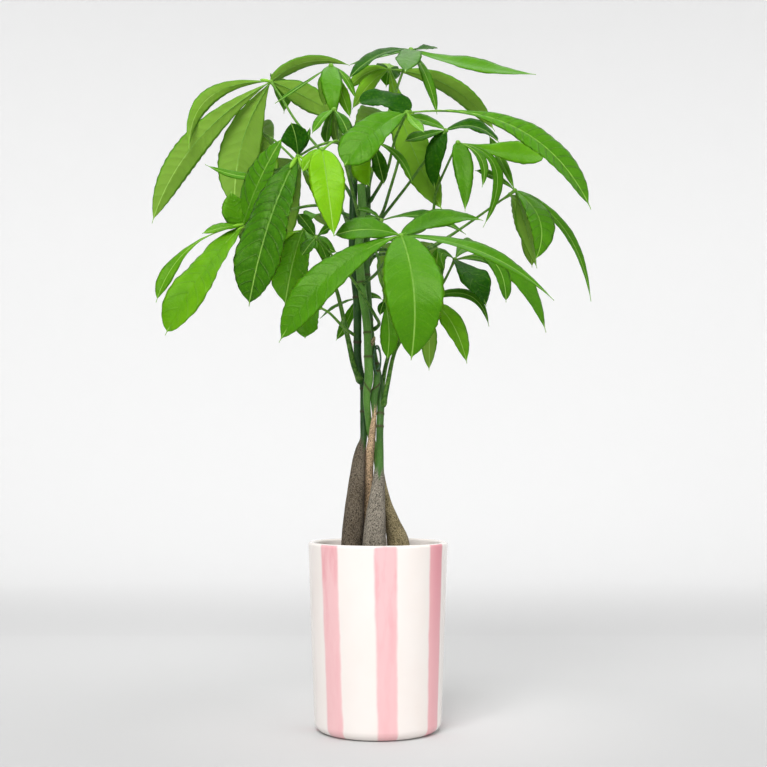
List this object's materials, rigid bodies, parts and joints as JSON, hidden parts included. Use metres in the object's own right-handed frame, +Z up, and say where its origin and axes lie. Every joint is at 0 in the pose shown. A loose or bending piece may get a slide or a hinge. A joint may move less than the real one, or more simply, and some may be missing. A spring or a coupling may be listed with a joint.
{
  "type": "potted money tree",
  "caption": "Potted money tree: braided slim trunks with swollen feet, glossy palmate leaves on long stalks, in a round cream glazed pot with pink stripes.",
  "frame": {"origin": "middle of the pot's flat underside", "axes": "+Z up, -Y towards the front of the plant, +X to the viewer's right"},
  "size_m": [0.4495, 0.3235, 0.6954],
  "materials": {
    "glaze": "glossy cream glaze with soft hand-painted pink stripes",
    "soil": "loose dark potting mix",
    "bark": "matt grey-brown bark, green and smooth higher up",
    "leaf": "glossy green upper side, paler underside, pale veins",
    "tie": "dark green coated wire"
  },
  "bodies": {
    "root": {"pot": "glaze", "soil": "soil", "trunk_left": "bark", "trunk_front": "bark", "trunk_right": "bark", "trunk_cut": "bark", "wire_tie": "tie", "leaf_top_left": "leaf", "leaf_top_small": "leaf", "leaf_crown": "leaf", "leaf_top_back": "leaf", "leaf_big_right": "leaf", "leaf_young_right": "leaf", "leaf_narrow_right": "leaf", "leaf_right": "leaf", "leaf_front": "leaf", "leaf_grey": "leaf", "leaf_low_right": "leaf", "leaf_far_right": "leaf", "leaf_hanging": "leaf", "leaf_small_left": "leaf", "leaf_young_left": "leaf", "leaf_low_left": "leaf", "leaf_tiny_left": "leaf", "leaf_left": "leaf", "leaf_dark_left": "leaf", "leaf_lime": "leaf", "leaf_centre": "leaf", "leaf_inner_left": "leaf", "leaf_back_left": "leaf", "leaf_back_right": "leaf", "leaf_back_top": "leaf", "leaf_back_far_left": "leaf", "leaf_back_far_right": "leaf"}
  },
  "joints": []
}
